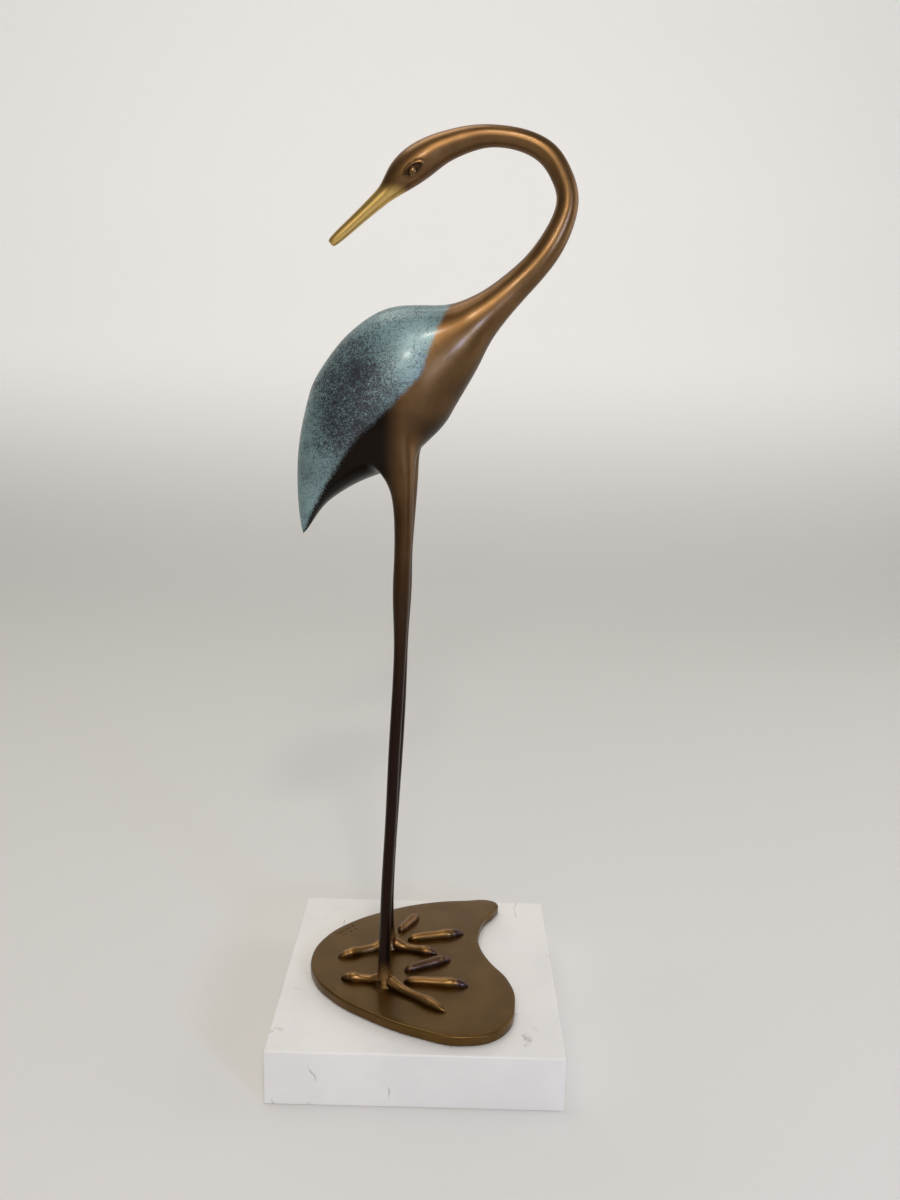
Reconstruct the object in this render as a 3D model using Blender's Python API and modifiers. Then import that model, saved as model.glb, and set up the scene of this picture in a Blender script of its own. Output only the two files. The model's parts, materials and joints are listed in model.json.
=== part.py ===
"""A tall bronze heron looking back over its shoulder, on a leaf-shaped plate and a marble plinth.

Metres, +Z up. The bird faces +X. The origin is the middle of the plinth's underside.
"""

import math

import bmesh
import bpy
import numpy as np

# Driving dimensions
FIGURE_HEIGHT = 0.583  # from the plate's top to the top of the neck's arch
PLATE_THICKNESS = 0.0075
PLATE_EDGE_ROUND = 0.0012
PLINTH_BORDER = 0.009  # marble past the plate's furthest point
PLINTH_HEIGHT = 0.040
PLINTH_EASED_EDGE = 0.0012
SEAT_GAP = 0.0003  # between the plate and the marble
SHARP_FROM = math.radians(40)  # edges that turn more than this are shaded sharp

# The figure is drawn this many units tall, and every share below is in those units.
DRAWN_HEIGHT = 583.0
UNIT = FIGURE_HEIGHT / DRAWN_HEIGHT
PLATE_TOP = PLINTH_HEIGHT + SEAT_GAP + PLATE_THICKNESS

# Sections of the bird from bill to tail, in its median plane:
# name, forward, up, half depth, half width, rings up to the next one
SECTIONS = (
    ("bill_tip", -63.5, 512.5, 3, 2.5, 1),
    ("bill", -50, 524.5, 4, 3.5, 1),
    ("bill_root", -36, 537, 5, 4.5, 1),
    ("lore", -29, 543.5, 6.5, 5.5, 1),
    ("brow", -22, 551, 9.5, 8, 1),
    ("eye", -13, 558.5, 11, 9.5, 2),
    ("nape", 7, 570, 9, 8, 2),
    ("arch_back", 38, 576.5, 6.5, 6.5, 2),
    ("arch_top", 70, 567, 7, 7, 2),
    ("arch_front", 84, 541, 7, 7, 2),
    ("throat", 73.5, 510.5, 8.5, 8.5, 2),
    ("neck_root", 51.5, 485.5, 10, 9.5, 2),
    ("breast_top", 27.5, 464, 16.5, 14.5, 1),
    ("breast", 15.5, 454, 24.5, 19, 1),
    ("back", -3, 442.5, 36.5, 24, 1),
    ("flank", -15.5, 433, 41.5, 26.5, 2),
    ("hip_front", -36, 411.5, 42, 27.5, 1),
    ("hip", -46, 399, 40, 26.5, 2),
    ("rump", -63, 377.5, 27.5, 21, 2),
    ("tail", -77, 352, 12.5, 11.5, 2),
    ("tail_tip", -83.5, 329, 3, 2.5, 1),
)
BILL_END = (-66, 510.5)
TAIL_END = (-85, 323)
AROUND = 12  # cage points round each section
GATHERED = 0.52  # radians by which the points draw together towards the belly, where the legs leave
BODY_EGG = 0.10  # how far the body's widest line lies below its middle
TAIL_EGG = 0.42  # how much further it lies below on the tail
WING_EDGE_SHARPNESS = 0.75

# Eyes: almond swellings on the sides of the head, from the same origin as the sections
EYE_PLACE = (-13.5, 7, 554)
EYE_HALF_SIZES = (5, 3, 3)  # along the head, across it, and up its side
EYE_SLANT = math.radians(35)

# Legs: up, forward on the near leg, forward on the far leg, half thickness
LEG_SECTIONS = (
    (364, -17, -15.5, 8),
    (348, -16.5, -15, 6.5),
    (330, -16, -16, 6),
    (308, -16.5, -17, 5.5),
    (289, -17, -17, 6),
    (268, -17, -17, 5),
    (248, -17, -17.5, 4),
    (210, -18.5, -18, 4),
    (170, -20.5, -19.5, 4),
    (125, -21.5, -22, 4),
    (80, -24, -24.5, 4),
    (35, -25, -26, 4),
    (12, -25, -25.5, 5),
    (3, -24.5, -24.5, 6.5),
    (-3, -24.5, -24.5, 6.5),
)
BIRD_SIDEWAYS = -7.5  # the bird's median plane, from the middle of the plinth
HIP_SIDEWAYS = 14.5  # from that plane
ANKLE_SIDEWAYS = 24.5
LEG_SLOPE_AT_TOP = 9.0  # how much higher the first leg section is at its front

# Toes: start and tip on the plate, forward and sideways, then whether it grows from the ankle
TOES = {
    "near_hind": ((-26, -32), (-57, -28), True),
    "near_outer": ((-22, -35), (20, -65), True),
    "near_middle": ((-11, -31), (36, -34), False),
    "near_inner": ((-11, -18), (23, -1), False),
    "far_hind": ((-27, 14), (-62, -2), True),
    "far_inner": ((-21, 14), (13, 5), True),
    "far_middle": ((-11, 24), (33, 35), False),
    "far_outer": ((-18, 35), (-4, 60), False),
}
TOE_HALF_WIDTH = 4.2
TOE_RISE = 1.1  # the middle of a toe's root above the plate
CLAW_DROP = 0.7  # how far the claw's point ends below the root's level
# Share of a toe's length, share of its half width: out of the ankle, or starting as a lump of its own
TOE_FROM_ANKLE = ((0, 1.15), (0.25, 0.85), (0.5, 0.8), (0.68, 1.0), (0.82, 0.85), (0.93, 0.45), (1, 0.12))
TOE_ON_ITS_OWN = (
    (0, 0.3), (0.05, 0.65), (0.2, 0.82), (0.45, 0.85), (0.68, 1.0), (0.84, 0.8), (0.95, 0.5), (1, 0.15),
)

# The plate's outline, seen from above with the bird facing right
PLATE_OUTLINE = (
    (-82, -2), (-77, -24), (-61, -46), (-36, -65), (-1, -83), (33, -91), (59, -80), (69, -48), (65, -24),
    (52, 0), (45, 22), (45, 37), (50, 58), (59, 73), (62, 83), (56, 89), (35, 88), (5, 83), (-27, 70),
    (-60, 47), (-76, 25),
)
SAME_POINT = 0.00002  # points this close are one
PLATE_REACH = 91.0  # the outline's furthest point from the middle, forward or sideways


def collection(name):
    """A new collection in the scene."""
    group = bpy.data.collections.new(name)
    bpy.context.scene.collection.children.link(group)
    return group


def material(name, colour, roughness, metallic):
    """A plain Principled material."""
    made = bpy.data.materials.new(name)
    made.use_nodes = True
    made.diffuse_color = (*colour, 1)
    shader = made.node_tree.nodes["Principled BSDF"]
    shader.inputs["Base Color"].default_value = (*colour, 1)
    shader.inputs["Roughness"].default_value = roughness
    shader.inputs["Metallic"].default_value = metallic
    return made


def through(knots, rings):
    """Rows on a smooth curve through the knots, with that many rows from each knot to the next."""
    steps = np.linalg.norm(np.diff(knots[:, :2], axis=0), axis=1)
    slopes = np.diff(knots, axis=0) / steps[:, None]
    tangents = np.empty_like(knots)
    before, after = steps[:-1, None], steps[1:, None]
    tangents[1:-1] = (slopes[:-1] * after + slopes[1:] * before) / (before + after)
    tangents[0] = 2 * slopes[0] - tangents[1]
    tangents[-1] = 2 * slopes[-1] - tangents[-2]
    rows = []
    for i, step in enumerate(steps):
        for t in np.arange(rings[i]) / rings[i]:
            rows.append(
                (1 + 2 * t) * (1 - t) ** 2 * knots[i]
                + t * (1 - t) ** 2 * step * tangents[i]
                + t * t * (3 - 2 * t) * knots[i + 1]
                - t * t * (1 - t) * step * tangents[i + 1]
            )
    return np.array(rows + [knots[-1]])


def caged(points, closed):
    """Control points of the cubic B-spline that passes through the points, along the first axis."""
    count = len(points)
    matrix = np.eye(count) * 4 / 6 + (np.eye(count, k=1) + np.eye(count, k=-1)) / 6
    if closed:
        matrix[0, -1] = matrix[-1, 0] = 1 / 6
    else:
        matrix[0] = matrix[-1] = 0
        matrix[0, 0] = matrix[-1, -1] = 1
    return np.linalg.solve(matrix, points.reshape(count, -1)).reshape(points.shape)


def body_cage():
    """The bird's sections as cage rings, the ring of the hip, and how far each lies along the body."""
    knots = np.array([section[1:5] for section in SECTIONS])
    rings = [section[5] for section in SECTIONS]
    names = [section[0] for section in SECTIONS]
    hip = sum(rings[: names.index("hip")])
    shoulder, tail = sum(rings[: names.index("breast_top")]), sum(rings[:-1])
    rows = through(knots, rings)
    along = np.gradient(rows[:, :2], axis=0)
    along /= np.linalg.norm(along, axis=1)[:, None]
    # 0 on the neck, 1 at the hip and behind it
    gathered = np.clip((np.arange(len(rows)) - shoulder) / (hip - 1 - shoulder), 0, 1)
    # 0 up to the hip, 1 at the tail's tip
    towards_tail = np.clip((np.arange(len(rows)) - hip) / (tail - hip), 0, 1)
    turn = np.arange(AROUND) * 2 * math.pi / AROUND
    # The points gather towards the belly, where the legs leave, and the tail is widest low down
    angle = turn - GATHERED * gathered[:, None] * np.sin(turn)
    egg = BODY_EGG * gathered + TAIL_EGG * towards_tail
    depth = rows[:, 2:3] * np.cos(angle)
    width = rows[:, 3:4] * np.sin(angle + egg[:, None] * np.sin(angle))
    ring = np.stack(
        [
            rows[:, 0:1] - along[:, 1:2] * depth,
            width,
            rows[:, 1:2] + along[:, 0:1] * depth,
        ],
        axis=-1,
    )
    ends = [np.tile((end[0], 0, end[1]), (1, AROUND, 1)) for end in (BILL_END, TAIL_END)]
    grid = np.concatenate([ends[0], ring, ends[1]])
    cage = caged(grid, closed=False)
    cage = caged(cage.transpose(1, 0, 2), closed=True).transpose(1, 0, 2)
    return cage[1:-1], hip, towards_tail


def leg_rings(side):
    """A leg's cage rings from the hip down, with eight points each. side is 1 for the far leg."""
    turn = np.radians(-45 + 45 * np.arange(8))
    spread = 3 / (2 + math.cos(math.pi / 4))  # a cage of eight points shrinks by this when smoothed
    top = LEG_SECTIONS[0][0]
    rings = []
    for i, (up, near, far, half) in enumerate(LEG_SECTIONS):
        forward = far if side > 0 else near
        sideways = HIP_SIDEWAYS + (ANKLE_SIDEWAYS - HIP_SIDEWAYS) * (top - up) / top
        slope = LEG_SLOPE_AT_TOP * max(0, 1 - i / 2)
        rings.append(
            np.stack(
                [
                    forward + half * spread * np.cos(turn),
                    side * (sideways + half * spread * np.sin(turn)),
                    up + slope * np.cos(turn),
                ],
                axis=-1,
            )
        )
    return rings


def heron_cage():
    """The bird as one coarse mesh: a lofted body whose hip faces open into two legs."""
    cage, hip, towards_tail = body_cage()
    rows = len(cage)
    points = [tuple(point) for ring in cage for point in ring]
    faces = []
    hips = {1: (1, 2), -1: (AROUND - 3, AROUND - 2)}
    open_faces = {(row, j) for row in (hip - 1, hip) for pair in hips.values() for j in pair}
    for row in range(rows - 1):
        for j in range(AROUND):
            if (row, j) in open_faces:
                continue
            k = (j + 1) % AROUND
            faces.append([row * AROUND + j, row * AROUND + k, (row + 1) * AROUND + k, (row + 1) * AROUND + j])
    for end, row in ((BILL_END, 0), (TAIL_END, rows - 1)):
        points.append((end[0], 0.0, end[1]))
        for j in range(AROUND):
            faces.append([row * AROUND + j, row * AROUND + (j + 1) % AROUND, len(points) - 1])
    for side in (1, -1):
        inner, middle, outer = (j * side % AROUND for j in (1, 2, 3))
        edge = [(hip - 1, inner), (hip - 1, middle), (hip - 1, outer), (hip, outer)]
        edge += [(hip + 1, outer), (hip + 1, middle), (hip + 1, inner), (hip, inner)]
        last = [row * AROUND + j for row, j in edge]
        for ring in leg_rings(side):
            first = len(points)
            points += [tuple(point) for point in ring]
            now = list(range(first, first + 8))
            faces += [[last[k], last[(k + 1) % 8], now[(k + 1) % 8], now[k]] for k in range(8)]
            last = now
        faces.append(last)
    place = np.array(points) * UNIT + (0, BIRD_SIDEWAYS * UNIT, PLATE_TOP)
    return place, faces, towards_tail


def add_mesh(name, points, faces, group):
    """A mesh object with its faces turned outwards."""
    mesh = bpy.data.meshes.new(name)
    mesh.from_pydata([tuple(point) for point in points], [], faces)
    solid = bmesh.new()
    solid.from_mesh(mesh)
    bmesh.ops.recalc_face_normals(solid, faces=solid.faces)
    solid.to_mesh(mesh)
    solid.free()
    made = bpy.data.objects.new(name, mesh)
    group.objects.link(made)
    return made


def hide_as_helper(made):
    """Leaves a shape that is only joined to another out of renders."""
    made.hide_render = True
    made.display_type = "WIRE"


def curve_to_mesh(name, curve, group):
    """A curve as a closed mesh object in the collection of joined shapes."""
    guide = bpy.data.objects.new(name, curve)
    bpy.context.scene.collection.objects.link(guide)
    graph = bpy.context.evaluated_depsgraph_get()
    mesh = bpy.data.meshes.new_from_object(guide.evaluated_get(graph))
    bpy.data.objects.remove(guide)
    solid = bmesh.new()
    solid.from_mesh(mesh)
    bmesh.ops.remove_doubles(solid, verts=solid.verts, dist=SAME_POINT)
    bmesh.ops.recalc_face_normals(solid, faces=solid.faces)
    solid.to_mesh(mesh)
    solid.free()
    made = bpy.data.objects.new(name, mesh)
    hide_as_helper(made)
    group.objects.link(made)
    return made


def plate(group):
    """The leaf-shaped plate: a flat outline with its rim rounded."""
    curve = bpy.data.curves.new("plate", "CURVE")
    curve.dimensions = "2D"
    curve.fill_mode = "BOTH"
    curve.extrude = PLATE_THICKNESS / 2
    curve.resolution_u = 5
    spline = curve.splines.new("BEZIER")
    spline.bezier_points.add(len(PLATE_OUTLINE) - 1)
    for anchor, (forward, sideways) in zip(spline.bezier_points, PLATE_OUTLINE):
        anchor.co = (forward * UNIT, sideways * UNIT, 0)
        anchor.handle_left_type = anchor.handle_right_type = "AUTO"
    spline.use_cyclic_u = True
    made = curve_to_mesh("plate", curve, group)
    made.location.z = PLATE_TOP - PLATE_THICKNESS / 2
    rim = made.modifiers.new("rounded_rim", "BEVEL")
    rim.width = PLATE_EDGE_ROUND
    rim.segments = 2
    rim.limit_method = "ANGLE"
    rim.angle_limit = math.radians(60)


def toe(name, start, tip, from_ankle, group):
    """A toe as a tube that lies half in the plate, with a knuckle and a pointed claw."""
    profile = TOE_FROM_ANKLE if from_ankle else TOE_ON_ITS_OWN
    curve = bpy.data.curves.new(name, "CURVE")
    curve.dimensions = "3D"
    curve.bevel_depth = TOE_HALF_WIDTH * UNIT
    curve.bevel_resolution = 3
    curve.use_fill_caps = True
    curve.resolution_u = 2
    spline = curve.splines.new("BEZIER")
    spline.bezier_points.add(len(profile) - 1)
    for anchor, (share, half) in zip(spline.bezier_points, profile):
        forward = start[0] + (tip[0] - start[0]) * share
        sideways = start[1] + (tip[1] - start[1]) * share
        up = TOE_RISE - CLAW_DROP * share * share
        anchor.co = (forward * UNIT, sideways * UNIT, PLATE_TOP + up * UNIT)
        anchor.radius = half
        anchor.handle_left_type = anchor.handle_right_type = "AUTO"
    curve_to_mesh(name, curve, group)


def eye(name, side, group):
    """An almond swelling half sunk in the head. side is 1 for the far eye."""
    ball = bmesh.new()
    bmesh.ops.create_uvsphere(ball, u_segments=12, v_segments=8, radius=1)
    bmesh.ops.scale(ball, vec=[half * UNIT for half in EYE_HALF_SIZES], verts=ball.verts)
    mesh = bpy.data.meshes.new(name)
    ball.to_mesh(mesh)
    ball.free()
    made = bpy.data.objects.new(name, mesh)
    forward, sideways, up = EYE_PLACE
    made.location = (forward * UNIT, (BIRD_SIDEWAYS + side * sideways) * UNIT, PLATE_TOP + up * UNIT)
    made.rotation_euler.y = -EYE_SLANT
    hide_as_helper(made)
    group.objects.link(made)


def heron(group, joined):
    """The whole casting: the smoothed bird joined with its eyes, toes and plate."""
    points, faces, towards_tail = heron_cage()
    made = add_mesh("heron", points, faces, group)
    made.data.materials.append(material("brown_bronze", (0.10, 0.052, 0.022), 0.32, 1.0))
    crease = made.data.attributes.new("crease_edge", "FLOAT", "EDGE")
    wing_edges = (3, AROUND - 3)
    weights = np.zeros(len(made.data.edges))
    for i, edge in enumerate(made.data.edges):
        rows, places = zip(*(divmod(vertex, AROUND) for vertex in edge.vertices))
        if max(rows) < len(towards_tail) and places[0] == places[1] and places[0] in wing_edges:
            weights[i] = WING_EDGE_SHARPNESS * towards_tail[max(rows)] ** 0.5
    crease.data.foreach_set("value", weights)
    sharp = made.data.attributes.new("crease_vert", "FLOAT", "POINT")
    sharp.data[len(towards_tail) * AROUND + 1].value = 1.0
    smooth = made.modifiers.new("smooth", "SUBSURF")
    smooth.levels = 1
    smooth.render_levels = 1
    plate(joined)
    for name, (start, tip, from_ankle) in TOES.items():
        toe(name, start, tip, from_ankle, joined)
    eye("near_eye", -1, joined)
    eye("far_eye", 1, joined)
    join = made.modifiers.new("join_eyes_toes_and_plate", "BOOLEAN")
    join.operation = "UNION"
    join.operand_type = "COLLECTION"
    join.collection = joined
    join.solver = "EXACT"
    made.data.shade_smooth()
    made.data.set_sharp_from_angle(angle=SHARP_FROM)


def marble_plinth(group):
    """The square marble block with eased edges."""
    side = 2 * (PLATE_REACH * UNIT + PLINTH_BORDER)
    block = bmesh.new()
    bmesh.ops.create_cube(block, size=1)
    bmesh.ops.scale(block, vec=(side, side, PLINTH_HEIGHT), verts=block.verts)
    bmesh.ops.translate(block, vec=(0, 0, PLINTH_HEIGHT / 2), verts=block.verts)
    mesh = bpy.data.meshes.new("marble_plinth")
    block.to_mesh(mesh)
    block.free()
    mesh.materials.append(material("white_marble", (0.80, 0.79, 0.77), 0.35, 0.0))
    made = bpy.data.objects.new("marble_plinth", mesh)
    group.objects.link(made)
    eased = made.modifiers.new("eased_edges", "BEVEL")
    eased.width = PLINTH_EASED_EDGE
    eased.segments = 2


for old in list(bpy.data.objects):
    bpy.data.objects.remove(old)
sculpture = collection("bronze_heron_sculpture")
shapes_joined = collection("shapes_joined_to_the_heron")
shapes_joined.hide_render = True
heron(sculpture, shapes_joined)
marble_plinth(sculpture)
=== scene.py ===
"""The looks of a bronze heron on a marble plinth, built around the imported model.

Metres, +Z up, the bird faces +X. Drawn sizes of the bird and its plate are in millimetres.
"""

import json
import math

import bmesh
import bpy
import numpy as np
from mathutils import Matrix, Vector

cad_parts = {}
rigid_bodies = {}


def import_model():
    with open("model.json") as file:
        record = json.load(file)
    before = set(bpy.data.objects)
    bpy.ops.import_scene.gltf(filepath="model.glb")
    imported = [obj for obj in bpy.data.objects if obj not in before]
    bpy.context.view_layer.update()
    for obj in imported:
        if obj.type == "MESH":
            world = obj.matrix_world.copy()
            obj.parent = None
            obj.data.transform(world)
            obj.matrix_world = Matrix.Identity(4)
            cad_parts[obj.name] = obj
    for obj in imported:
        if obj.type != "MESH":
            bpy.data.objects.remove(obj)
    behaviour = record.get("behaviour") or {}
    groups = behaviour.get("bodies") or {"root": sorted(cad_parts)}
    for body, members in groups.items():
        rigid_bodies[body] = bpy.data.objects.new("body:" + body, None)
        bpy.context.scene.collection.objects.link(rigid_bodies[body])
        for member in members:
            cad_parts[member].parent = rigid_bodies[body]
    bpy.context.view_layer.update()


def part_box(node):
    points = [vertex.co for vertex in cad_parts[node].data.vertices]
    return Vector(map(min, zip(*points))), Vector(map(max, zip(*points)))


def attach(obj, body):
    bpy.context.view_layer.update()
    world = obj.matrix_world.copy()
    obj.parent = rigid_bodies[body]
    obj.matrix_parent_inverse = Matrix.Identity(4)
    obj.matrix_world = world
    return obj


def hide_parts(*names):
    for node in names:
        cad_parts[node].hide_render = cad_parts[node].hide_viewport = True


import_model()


# The plinth is one square block of white marble, sawn, honed, and with its edges eased by hand.
# It stands by its own weight on a bare sawn underside.
PLINTH_LOW, PLINTH_HIGH = (np.array(corner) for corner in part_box("marble_plinth"))
EASED_EDGE = 0.0013
STEPS_ROUND_AN_EDGE = 6
STEPS_ALONG_A_SIDE = 24


def side_stations(half, radius):
    """Places from one end of a side to the other: radius * (1 - tan(angle)) in from each end, for even
    angles from 45 degrees to 0, with even steps between the two rounded edges."""
    fan = radius * (1 - np.tan(np.linspace(math.pi / 4, 0, STEPS_ROUND_AN_EDGE + 1)))
    between = np.linspace(radius - half, half - radius, STEPS_ALONG_A_SIDE + 1)[1:-1]
    return np.concatenate([fan - half, between, half - fan[::-1]])


def grid_faces(rows, columns, closed):
    """Quads of a grid of points numbered row by row, joined round if closed."""
    number = np.arange(rows * columns).reshape(rows, columns)
    if closed:
        number = np.concatenate([number, number[:, :1]], axis=1)
    corners = number[:-1, :-1], number[:-1, 1:], number[1:, 1:], number[1:, :-1]
    return np.stack(corners, axis=-1).reshape(-1, 4)


def eased_block(low, high, radius):
    """A box with rounded edges: a point of the sharp box goes to the nearest point of the box that is
    smaller by the radius all round, and from there back along the same line by the radius."""
    half, middle = (high - low) / 2, (high + low) / 2
    points, faces = [], []
    for axis in range(3):
        across, up = (axis + 1) % 3, (axis + 2) % 3
        s, t = side_stations(half[across], radius), side_stations(half[up], radius)
        for sign in (1, -1):
            side = np.zeros((len(s), len(t), 3))
            side[..., axis] = sign * half[axis]
            side[..., across] = s[:, None]
            side[..., up] = t
            quads = grid_faces(len(s), len(t), closed=False)
            faces.append((quads[:, ::-1] if sign > 0 else quads) + sum(map(len, points)))
            points.append(side.reshape(-1, 3))
    points = np.concatenate(points)
    inner = np.clip(points, radius - half, half - radius)
    outward = points - inner
    points = middle + inner + radius * outward / np.linalg.norm(outward, axis=1)[:, None]
    _, first, same = np.unique(np.round(points, 7), axis=0, return_index=True, return_inverse=True)
    return points[first], same.reshape(-1)[np.concatenate(faces)]


def mesh_object(name, points, faces):
    """A smooth-shaded mesh object at the origin."""
    mesh = bpy.data.meshes.new(name)
    mesh.from_pydata(points.tolist(), [], [list(face) for face in faces])
    mesh.shade_smooth()
    made = bpy.data.objects.new(name, mesh)
    bpy.context.scene.collection.objects.link(made)
    return made


def face_outwards(made):
    """Turns every face of a closed mesh outwards."""
    shell = bmesh.new()
    shell.from_mesh(made.data)
    bmesh.ops.recalc_face_normals(shell, faces=shell.faces)
    shell.to_mesh(made.data)
    shell.free()


def new_material(name):
    """An empty node material, and the shader that is wired to its output."""
    made = bpy.data.materials.new(name)
    made.use_nodes = True
    return made, made.node_tree, made.node_tree.nodes["Principled BSDF"]


def node(tree, kind, inputs=(), **settings):
    """A shader node. A socket among the inputs is linked to, and anything else is set."""
    made = tree.nodes.new("ShaderNode" + kind)
    for name, value in settings.items():
        setattr(made, name, value)
    for place, value in dict(inputs).items():
        if isinstance(value, bpy.types.NodeSocket):
            tree.links.new(value, made.inputs[place])
        else:
            made.inputs[place].default_value = value
    return made


def noise(tree, place, scale, detail=3.0, roughness=0.5):
    """Values from 0 to 1 of a cloudy pattern, with that many clouds in a metre."""
    inputs = {"Vector": place, "Scale": scale, "Detail": detail, "Roughness": roughness}
    return node(tree, "TexNoise", inputs).outputs["Fac"]


def spread(tree, value, start, end, low=0.0, high=1.0):
    """The value taken smoothly from low at start to high at end."""
    inputs = {"Value": value, "From Min": start, "From Max": end, "To Min": low, "To Max": high}
    return node(tree, "MapRange", inputs, interpolation_type="SMOOTHSTEP").outputs["Result"]


def reckon(tree, operation, first, second=0.0):
    """Two values put together by one sum."""
    return node(tree, "Math", {0: first, 1: second}, operation=operation).outputs[0]


def blend(tree, share, first, second, blend_type="MIX"):
    """The first colour going over to the second as the share goes from 0 to 1."""
    inputs = {"Factor": share, 6: first, 7: second}
    return node(tree, "Mix", inputs, data_type="RGBA", blend_type=blend_type).outputs[2]


marble, tree, shader = new_material("honed_white_marble")
place = node(tree, "TexCoord").outputs["Object"]
drift = node(tree, "TexNoise", {"Vector": place, "Scale": 22.0, "Detail": 3.0}).outputs["Color"]
moved = {0: drift, 1: (0.05, 0.05, 0.05), 2: place}
bent = node(tree, "VectorMath", moved, operation="MULTIPLY_ADD").outputs[0]
cloud = spread(tree, noise(tree, bent, 14.0, 5.0), 0.35, 0.75)
line = reckon(tree, "ABSOLUTE", reckon(tree, "SUBTRACT", noise(tree, bent, 12.0, 1.0), 0.5))
vein = spread(tree, line, 0.0, 0.007, 1.0, 0.0)
broken = spread(tree, noise(tree, place, 60.0, 5.0), 0.50, 0.64)
stone = blend(tree, cloud, (0.86, 0.845, 0.815, 1), (0.79, 0.78, 0.755, 1))
stone = blend(tree, reckon(tree, "MULTIPLY", vein, broken), stone, (0.45, 0.44, 0.42, 1))
tree.links.new(stone, shader.inputs["Base Color"])
tree.links.new(spread(tree, noise(tree, place, 70.0), 0.3, 0.7, 0.34, 0.44), shader.inputs["Roughness"])
shader.inputs["Subsurface Weight"].default_value = 0.12
shader.inputs["Subsurface Radius"].default_value = (0.004, 0.0035, 0.003)
grain = node(tree, "Bump", {"Height": noise(tree, place, 900.0, 4.0), "Strength": 0.06, "Distance": 0.0004})
tree.links.new(grain.outputs["Normal"], shader.inputs["Normal"])

plinth = mesh_object("marble_block", *eased_block(PLINTH_LOW, PLINTH_HIGH, EASED_EDGE))
plinth.data.materials.append(marble)
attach(plinth, "root")
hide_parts("marble_plinth")


# The bird is modelled in wax, cast in bronze by the lost wax way and chased smooth: bill, head, neck,
# body, tail and both legs are one skin, drawn here as sections in its middle plane.
# Each row holds forward, up from the plate, half depth and half width.
PLATE_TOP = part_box("marble_plinth")[1].z * 1000 + 7.8
MIDDLE_PLANE = -7.5
BIRD_SECTIONS = np.array([
    (-63.5, 512.5, 3, 2.5), (-50, 524.5, 4, 3.5), (-36, 537, 5, 4.5), (-29, 543.5, 6.5, 5.5),
    (-22, 551, 9.5, 8), (-13, 558.5, 11, 9.5), (7, 570, 9, 8), (38, 576.5, 6.5, 6.5), (70, 567, 7, 7),
    (84, 541, 7, 7), (73.5, 510.5, 8.5, 8.5), (51.5, 485.5, 10, 9.5), (27.5, 464, 16.5, 14.5),
    (15.5, 454, 24.5, 19), (-3, 442.5, 36.5, 24), (-15.5, 433, 41.5, 26.5), (-36, 411.5, 42, 27.5),
    (-46, 399, 40, 26.5), (-63, 377.5, 27.5, 21), (-77, 352, 12.5, 11.5), (-83.5, 329, 3, 2.5),
])
SECTIONS_BETWEEN = np.array([1] * 5 + [2] * 7 + [1] * 3 + [2, 1] + [2] * 3)  # steps up to the next row
BREAST_TOP, HIP = 12, 17  # rows of the table
BILL_END, TAIL_END = (-66, 510.5), (-85, 323)
AROUND = 12  # cage points round each section
GATHERED = 0.52  # radians by which those points draw together towards the belly
BODY_EGG, TAIL_EGG = 0.10, 0.42  # how far the widest line lies below the middle, and more on the tail
# Each row holds up, forward on the near leg, forward on the far leg, and half thickness.
LEG_SECTIONS = np.array([
    (364, -17, -15.5, 8), (348, -16.5, -15, 6.5), (330, -16, -16, 6), (308, -16.5, -17, 5.5),
    (289, -17, -17, 6), (268, -17, -17, 5), (248, -17, -17.5, 4), (210, -18.5, -18, 4),
    (170, -20.5, -19.5, 4), (125, -21.5, -22, 4), (80, -24, -24.5, 4), (35, -25, -26, 4),
    (14, -25, -25.5, 4.5), (6.5, -24.5, -25, 5.5), (2, -24.5, -24.5, 7), (-2.5, -24.5, -24.5, 10.5),
])
HIP_SIDEWAYS, ANKLE_SIDEWAYS = 14.5, 24.5
LEG_SLOPE_AT_TOP = 9.0
WING_EDGE_SHARPNESS = 0.75


def curve_through(knots, steps):
    """Rows on a curve through the knots: (1+2t)(1-t)^2 a + t(1-t)^2 p + t^2(3-2t) b - t^2(1-t) q from a knot
    a to the next one b, where p and q are their slopes times the way between them."""
    gaps = np.linalg.norm(np.diff(knots[:, :2], axis=0), axis=1)[:, None]
    chords = np.diff(knots, axis=0) / gaps
    slopes = np.empty_like(knots)
    slopes[1:-1] = (chords[:-1] * gaps[1:] + chords[1:] * gaps[:-1]) / (gaps[1:] + gaps[:-1])
    slopes[0] = 2 * chords[0] - slopes[1]
    slopes[-1] = 2 * chords[-1] - slopes[-2]
    part = np.repeat(np.arange(len(steps)), steps)
    first = np.cumsum(steps) - steps
    t = ((np.arange(steps.sum()) - first[part]) / steps[part])[:, None]
    rows = (1 + 2 * t) * (1 - t) ** 2 * knots[part] + t * (1 - t) ** 2 * gaps[part] * slopes[part]
    rows += t * t * (3 - 2 * t) * knots[part + 1] - t * t * (1 - t) * gaps[part] * slopes[part + 1]
    return np.concatenate([rows, knots[-1:]])


def cage_of(points, closed):
    """Control points whose cubic B-spline passes through the points: (before + 4 here + after) / 6 is the
    point at each of them, solved for all at once."""
    count = len(points)
    weights = np.eye(count) * 4 / 6 + (np.eye(count, k=1) + np.eye(count, k=-1)) / 6
    if closed:
        weights[0, -1] = weights[-1, 0] = 1 / 6
    else:
        weights[[0, -1]] = np.eye(count)[[0, -1]]
    return np.linalg.solve(weights, points.reshape(count, -1)).reshape(points.shape)


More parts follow.
